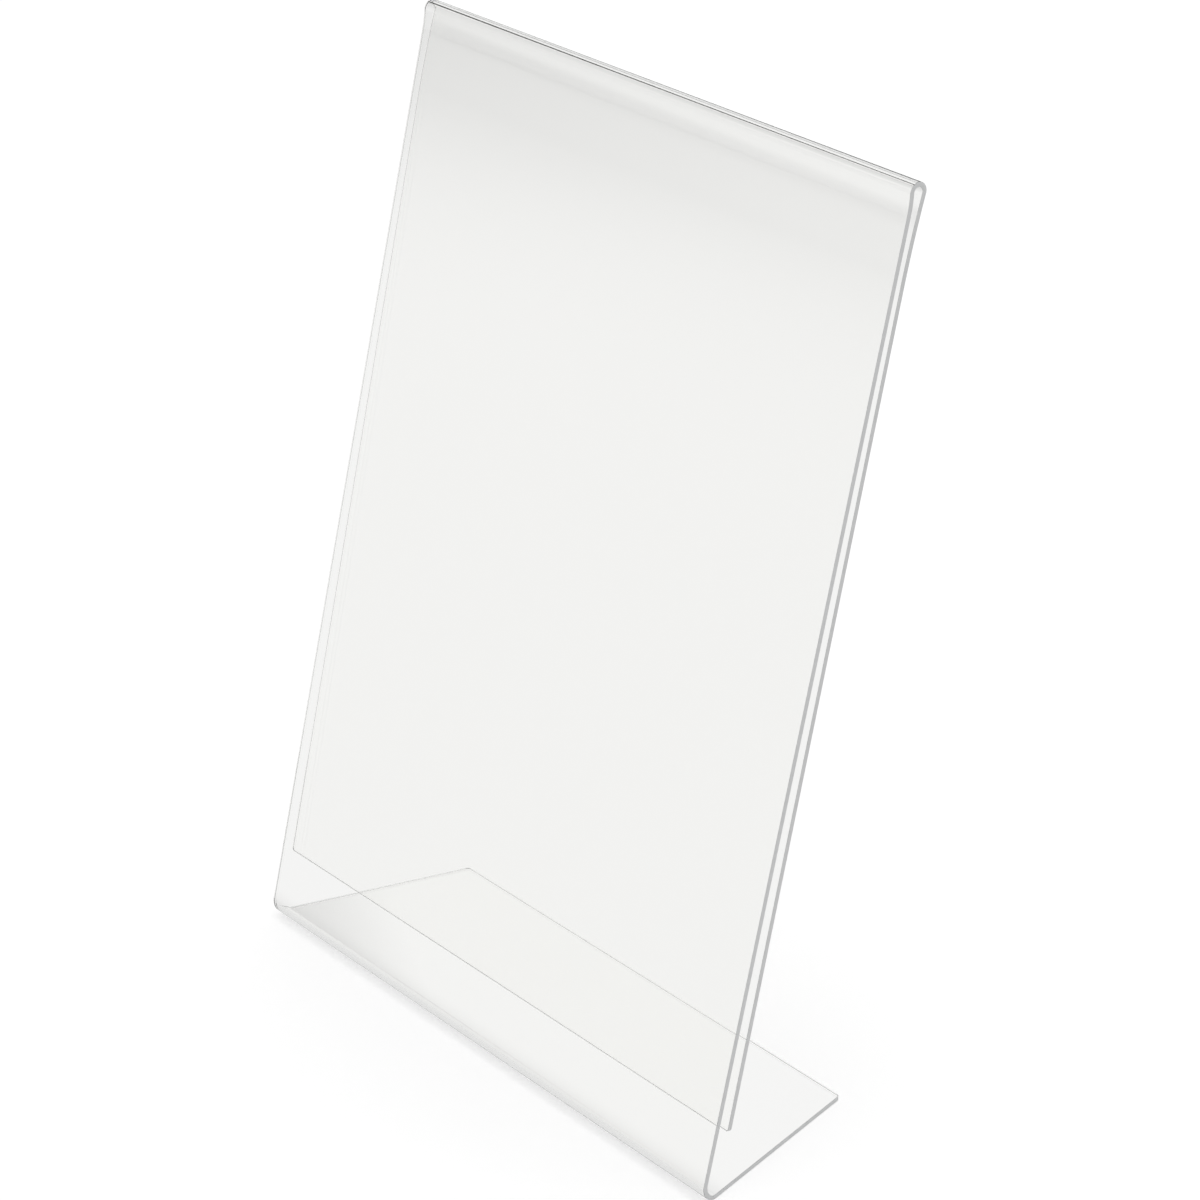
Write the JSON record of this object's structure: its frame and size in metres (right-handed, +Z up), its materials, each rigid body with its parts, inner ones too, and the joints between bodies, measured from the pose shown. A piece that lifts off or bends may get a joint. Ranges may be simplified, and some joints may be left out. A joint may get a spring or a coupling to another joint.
{
  "type": "slanted sign holder",
  "caption": "Clear slanted countertop sign holder: one bent sheet with a flat foot, a leaning front panel and a folded-over rear flap that holds a portrait card.",
  "frame": {"origin": "middle of the flat underside of the foot, on the surface the holder stands on", "axes": "+X to the right of someone reading the card, +Y from the reader towards the back of the foot, +Z up"},
  "size_m": [0.215, 0.074, 0.2948],
  "materials": {
    "clear_acrylic": "polished"
  },
  "bodies": {
    "root": {"foot": "clear_acrylic", "bend_lower": "clear_acrylic", "bend_upper": "clear_acrylic", "front_panel": "clear_acrylic", "fold_front": "clear_acrylic", "fold_rear": "clear_acrylic", "rear_flap": "clear_acrylic"}
  },
  "joints": []
}
